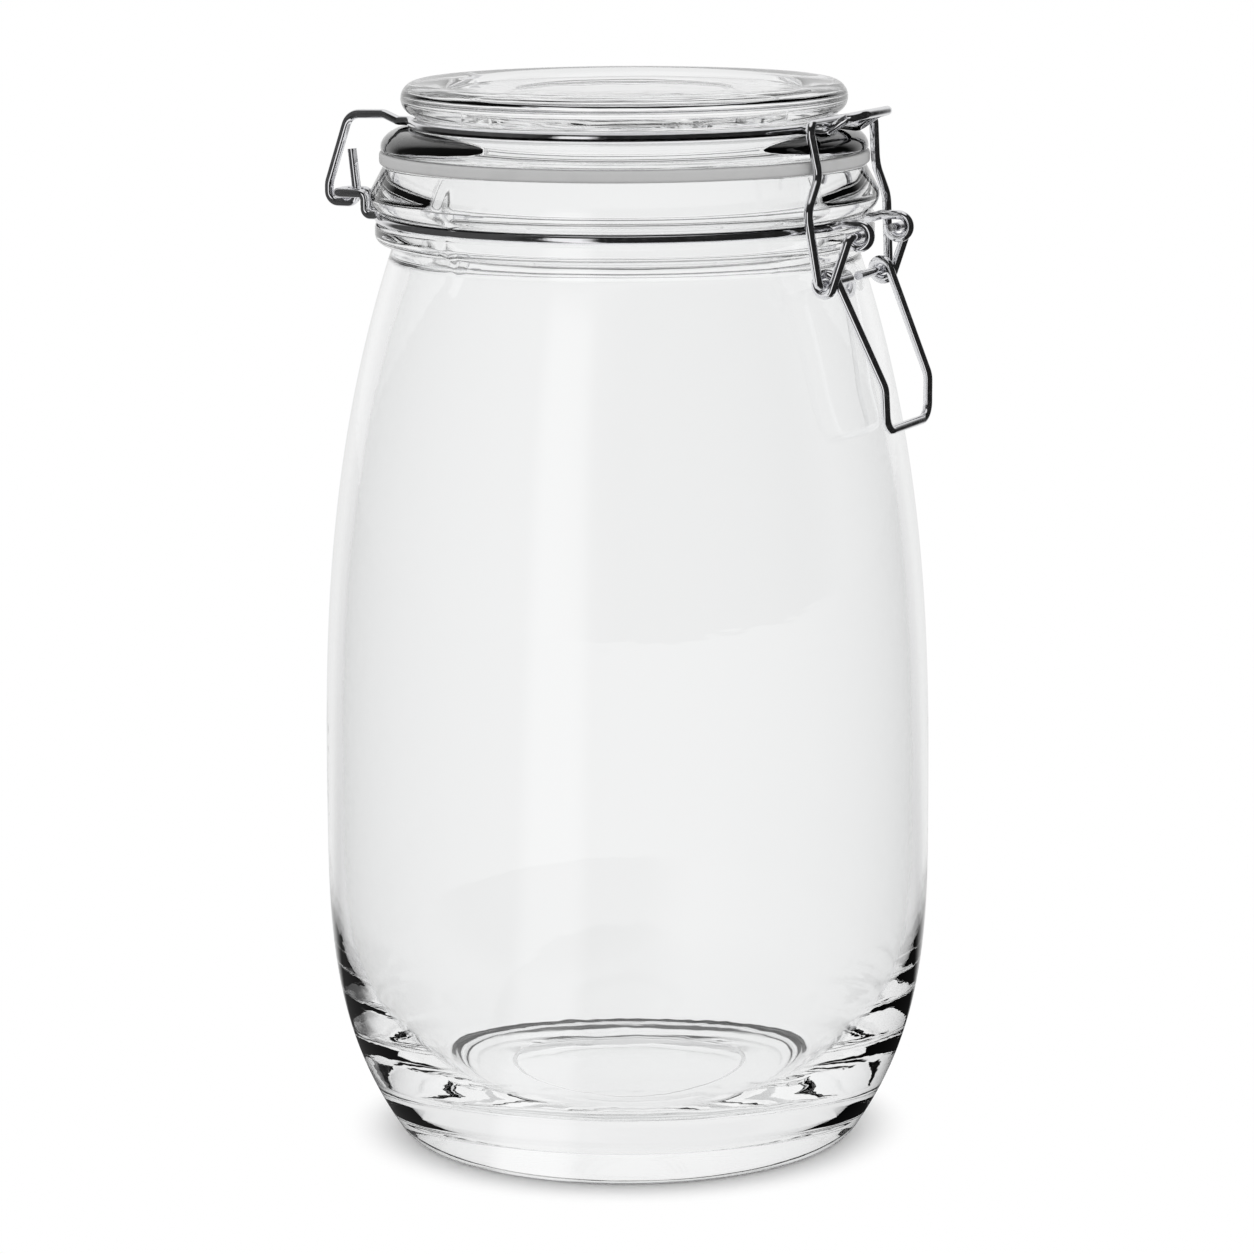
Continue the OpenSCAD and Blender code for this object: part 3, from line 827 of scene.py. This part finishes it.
def studio_group():
    """How bright the studio is in each direction, for what is mirrored and for what shines through."""
    group, given, result = new_group("Studio", [("Direction", (0.0, 0.0, 1.0))], ["Mirrored", "Through"])
    unit = group.nodes.new("ShaderNodeVectorMath")
    unit.operation = "NORMALIZE"
    group.links.new(given.outputs["Direction"], unit.inputs[0])
    direction = unit.outputs["Vector"]
    split = group.nodes.new("ShaderNodeSeparateXYZ")
    group.links.new(direction, split.inputs["Vector"])
    squash = group.nodes.new("ShaderNodeVectorMath")
    squash.operation = "MULTIPLY"
    squash.inputs[1].default_value = (1, 1, 0)
    group.links.new(direction, squash.inputs[0])
    flat = group.nodes.new("ShaderNodeVectorMath")
    flat.operation = "NORMALIZE"
    group.links.new(squash.outputs["Vector"], flat.inputs[0])
    round_about = flat.outputs["Vector"]
    below_top = smooth_step(group, split.outputs["Z"], 0.5, 0.4)
    strip = add_values(group, facing(group, round_about, level(STRIP_TURN), 5, 9), below_top, "MULTIPLY")
    lit_strip = add_values(group, 0.015, strip)
    grey_wall = add_values(group, facing(group, round_about, level(GREY_TURN), 30, 25), 0.05, "MULTIPLY")
    back_wall = add_values(group, facing(group, round_about, level(BACK_TURN), 30, 20), 0.8, "MULTIPLY")
    walls = add_values(group, lit_strip, add_values(group, grey_wall, back_wall, "MAXIMUM"))
    overhead = add_values(group, smooth_step(group, split.outputs["Z"], 0.86, 0.94), 0.85, "MULTIPLY")
    group.links.new(add_values(group, walls, overhead, "MAXIMUM"), result.inputs["Mirrored"])
    dark_side = add_values(group, facing(group, direction, level(DARK_TURN, 0.1), 35, 30), 0.9, "MULTIPLY")
    dim_top = add_values(group, smooth_step(group, split.outputs["Z"], 0.45, 0.8), 0.3, "MULTIPLY")
    dim = add_values(group, dark_side, dim_top, "MAXIMUM")
    group.links.new(add_values(group, 1.0, dim, "SUBTRACT"), result.inputs["Through"])
    return group


def pick_by_ray(tree, shaded, through, mirrored, seen):
    """The light by kind of ray: for shading, through glass, mirrored before any glass, and seen.

    Light that has crossed glass still counts as gloss, so it is told apart by the glass it crossed.
    """
    path = tree.nodes.new("ShaderNodeLightPath")
    before_glass = add_values(tree, 1.0, path.outputs["Transmission Depth"], "SUBTRACT")
    first_mirror = add_values(tree, path.outputs["Is Glossy Ray"], before_glass, "MULTIPLY")
    light = shaded
    kinds = [(path.outputs["Is Glossy Ray"], through), (first_mirror, mirrored)]
    for flag, value in kinds + [(path.outputs["Is Camera Ray"], seen)]:
        pick = tree.nodes.new("ShaderNodeMix")
        tree.links.new(flag, pick.inputs["Factor"])
        for socket, given in ((pick.inputs["A"], light), (pick.inputs["B"], value)):
            if isinstance(given, float):
                socket.default_value = given
            else:
                tree.links.new(given, socket)
        light = pick.outputs["Result"]
    return light


def floor_material(finishes, studio):
    """A white floor that shades only close round the foot, and that wires and glass see as the studio."""
    material, tree, shader = new_material("Studio floor")
    shader.inputs["Base Color"].default_value = (*finishes.floor, 1)
    shader.inputs["Roughness"].default_value = 0.9
    shader.inputs["Specular IOR Level"].default_value = 0.0
    place = tree.nodes.new("ShaderNodeTexCoord")
    lower = tree.nodes.new("ShaderNodeVectorMath")
    lower.operation = "SUBTRACT"
    lower.inputs[1].default_value = (0, 0, WIRE_HEIGHT)
    tree.links.new(place.outputs["Object"], lower.inputs[0])
    seen = add_group(tree, studio, {})
    tree.links.new(lower.outputs["Vector"], seen.inputs["Direction"])
    away = tree.nodes.new("ShaderNodeVectorMath")
    away.operation = "LENGTH"
    tree.links.new(place.outputs["Object"], away.inputs[0])
    foot_r = bpy.context.scene.jar_glass.foot_r
    far = smooth_step(tree, away.outputs["Value"], foot_r + 0.0015, foot_r + 0.0145)
    plain = tree.nodes.new("ShaderNodeEmission")
    light = pick_by_ray(tree, 1.0, FLOOR_THROUGH, seen.outputs["Mirrored"], 1.0)
    tree.links.new(light, plain.inputs["Strength"])
    path = tree.nodes.new("ShaderNodeLightPath")
    share = add_values(tree, far, path.outputs["Is Glossy Ray"], "MAXIMUM")
    mix = tree.nodes.new("ShaderNodeMixShader")
    tree.links.new(share, mix.inputs["Fac"])
    tree.links.new(shader.outputs["BSDF"], mix.inputs[1])
    tree.links.new(plain.outputs["Emission"], mix.inputs[2])
    tree.links.new(mix.outputs["Shader"], tree.nodes["Material Output"].inputs["Surface"])
    return material


def light_studio(scene):
    """White all round, except for what is mirrored or shines through, which sees the studio's parts."""
    world = bpy.data.worlds.new("White studio")
    scene.world = world
    world.use_nodes = True
    tree = world.node_tree
    background = tree.nodes["Background"]
    direction = tree.nodes.new("ShaderNodeTexCoord").outputs["Generated"]
    seen = add_group(tree, bpy.data.node_groups["Studio"], {})
    tree.links.new(direction, seen.inputs["Direction"])
    light = pick_by_ray(tree, ROOM_LIGHT, seen.outputs["Through"], seen.outputs["Mirrored"], 1.0)
    tree.links.new(light, background.inputs["Strength"])
    background.inputs["Color"].default_value = (1, 1, 1, 1)
    scene.view_settings.view_transform = "Standard"
    scene.view_settings.look = "None"
    scene.cycles.max_bounces = 32
    scene.cycles.transmission_bounces = 32
    scene.cycles.glossy_bounces = 16


def set_camera(scene):
    """A long lens, 0.95 m from the jar and a little above it, turned a hair to one side."""
    distance, height = 0.95, 0.276
    place = Vector(level(LENS_TURN)) * distance
    bpy.ops.object.camera_add(location=(place.x, place.y, height))
    camera = bpy.context.active_object
    camera.name = "studio_camera"
    camera.data.lens = 139.49
    camera.data.sensor_width = 36
    turn = Matrix.Rotation(math.radians(LENS_TURN + 90), 3, "Z")
    tilt = Matrix.Rotation(math.radians(90 - 10.4065), 3, "X")
    roll = Matrix.Rotation(math.radians(-0.3), 3, "Z")
    camera.rotation_euler = (turn @ tilt @ roll).to_euler()
    camera.data.clip_start = 0.05
    scene.camera = camera


# ---------------------------------------------------------------- the panel and the run


class JARLOOK_PT_panel(Panel):
    """The jar's pieces, in the order that they are made"""

    bl_label = "Glass jar"
    bl_idname = "JARLOOK_PT_panel"
    bl_space_type = "VIEW_3D"
    bl_region_type = "UI"
    bl_category = "Glass jar"

    def draw(self, context):
        for step in STEPS:
            self.layout.operator(step.bl_idname)
        for group in (context.scene.jar_glass, context.scene.jar_wires, context.scene.jar_finishes):
            box = self.layout.box()
            for title in group.__annotations__:
                box.prop(group, title)


STEPS = (
    JARLOOK_OT_jar,
    JARLOOK_OT_lid,
    JARLOOK_OT_gasket,
    JARLOOK_OT_rings,
    JARLOOK_OT_latch,
    JARLOOK_OT_stage,
)
GROUPS = (JARLOOK_glass_sizes, JARLOOK_wire_sizes, JARLOOK_finishes)


def register():
    """Registers the classes and puts the sizes and colours on the scene."""
    for made in GROUPS + STEPS + (JARLOOK_PT_panel,):
        bpy.utils.register_class(made)
    bpy.types.Scene.jar_glass = PointerProperty(type=JARLOOK_glass_sizes)
    bpy.types.Scene.jar_wires = PointerProperty(type=JARLOOK_wire_sizes)
    bpy.types.Scene.jar_finishes = PointerProperty(type=JARLOOK_finishes)


def unregister():
    """Takes all of it away again."""
    del bpy.types.Scene.jar_finishes
    del bpy.types.Scene.jar_wires
    del bpy.types.Scene.jar_glass
    for made in reversed(GROUPS + STEPS + (JARLOOK_PT_panel,)):
        bpy.utils.unregister_class(made)


def main():
    """Makes the node groups and every piece in order."""
    register()
    ripple_group()
    marks_group()
    studio_group()
    bpy.ops.jarlook.jar()
    bpy.ops.jarlook.lid()
    bpy.ops.jarlook.gasket()
    bpy.ops.jarlook.rings()
    bpy.ops.jarlook.latch()
    bpy.ops.jarlook.stage()


if __name__ == "__main__":
    main()
